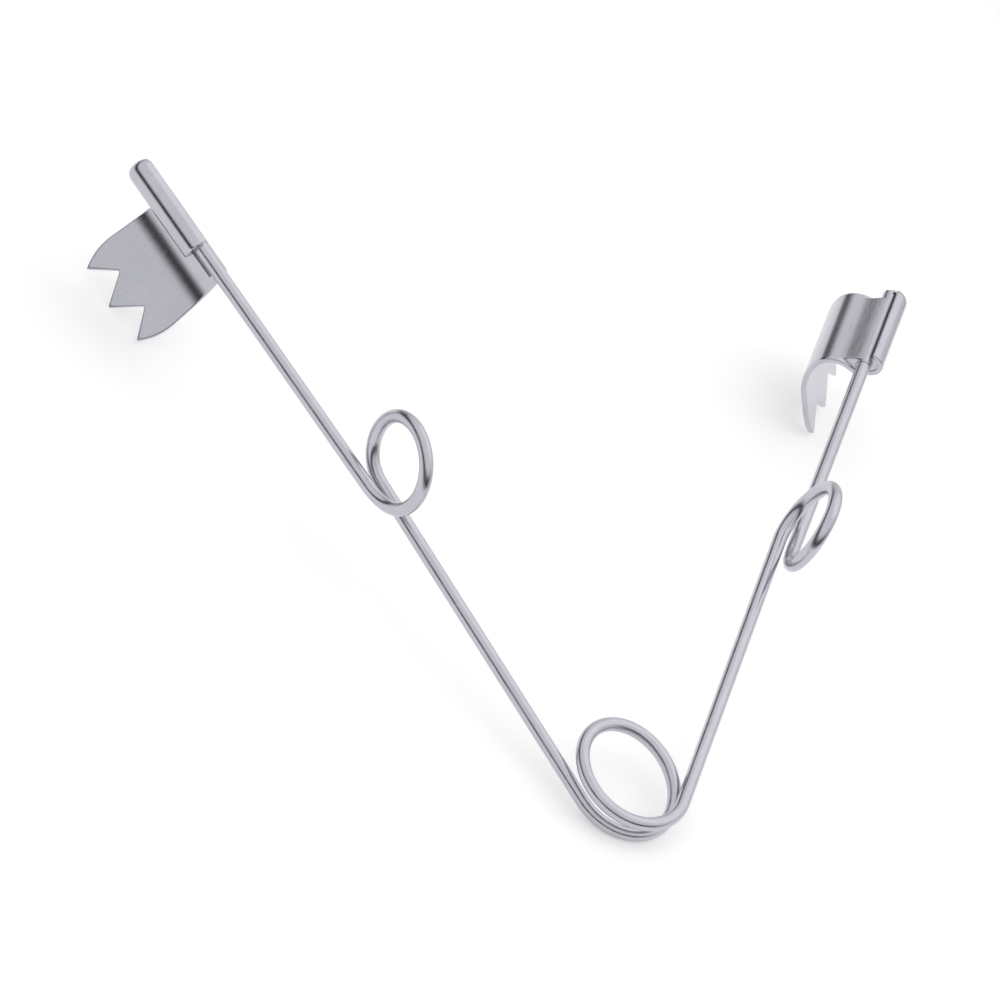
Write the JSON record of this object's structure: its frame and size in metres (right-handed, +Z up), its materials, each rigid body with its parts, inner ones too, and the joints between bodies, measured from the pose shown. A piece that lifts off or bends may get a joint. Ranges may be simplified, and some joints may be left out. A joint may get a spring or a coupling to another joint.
{
  "type": "self retaining retractor",
  "caption": "Small self retaining retractor of sprung steel wire with three coils, whose two arms spread a pair of toothed sheet blades.",
  "frame": {"origin": "on the table under the middle of the retractor's footprint, where it rests on its teeth and centre coil", "axes": "+X from the left blade to the right blade, +Y from the centre coil to the open end, +Z up"},
  "size_m": [0.0772, 0.0598, 0.0157],
  "materials": {
    "spring_wire": "polished drawn wire",
    "blade_sheet": "polished sheet",
    "silver_solder": "smooth solder"
  },
  "bodies": {
    "coil": {"centre_coil": "spring_wire"},
    "left_lower": {"left_lower_arm": "spring_wire", "left_side_coil": "spring_wire"},
    "left_upper": {"left_upper_arm": "spring_wire", "left_blade": "blade_sheet", "left_braze": "silver_solder"},
    "right_lower": {"right_lower_arm": "spring_wire", "right_side_coil": "spring_wire"},
    "right_upper": {"right_upper_arm": "spring_wire", "right_blade": "blade_sheet", "right_braze": "silver_solder"}
  },
  "joints": [
    {"name": "left_spread", "type": "hinge", "parent": "coil", "child": "left_lower", "pos_m": [0.00031, -0.02429, 0.00263], "axis": [0.0394, -0.2309, 0.9722], "range_deg": [-28, 6], "stiffness_Nm_per_rad": 0.94, "deforming": ["centre_coil"]},
    {"name": "right_spread", "type": "hinge", "parent": "coil", "child": "right_lower", "pos_m": [0.00031, -0.02429, 0.00263], "axis": [-0.0394, 0.2309, -0.9722], "range_deg": [-28, 6], "stiffness_Nm_per_rad": 0.94, "deforming": ["centre_coil"]},
    {"name": "left_flex", "type": "hinge", "parent": "left_lower", "child": "left_upper", "pos_m": [-0.01916, -0.00012, 0.01117], "axis": [0.9771, 0.2071, 0.0491], "range_deg": [-15, 15], "stiffness_Nm_per_rad": 0.8, "deforming": ["left_side_coil"]},
    {"name": "right_flex", "type": "hinge", "parent": "right_lower", "child": "right_upper", "pos_m": [0.01992, -0.0002, 0.01167], "axis": [0.8828, -0.4456, -0.1487], "range_deg": [-15, 15], "stiffness_Nm_per_rad": 0.87, "deforming": ["right_side_coil"]}
  ],
  "couplings": [
    {"joint": "right_spread", "follows": "left_spread", "ratio": 1}
  ]
}
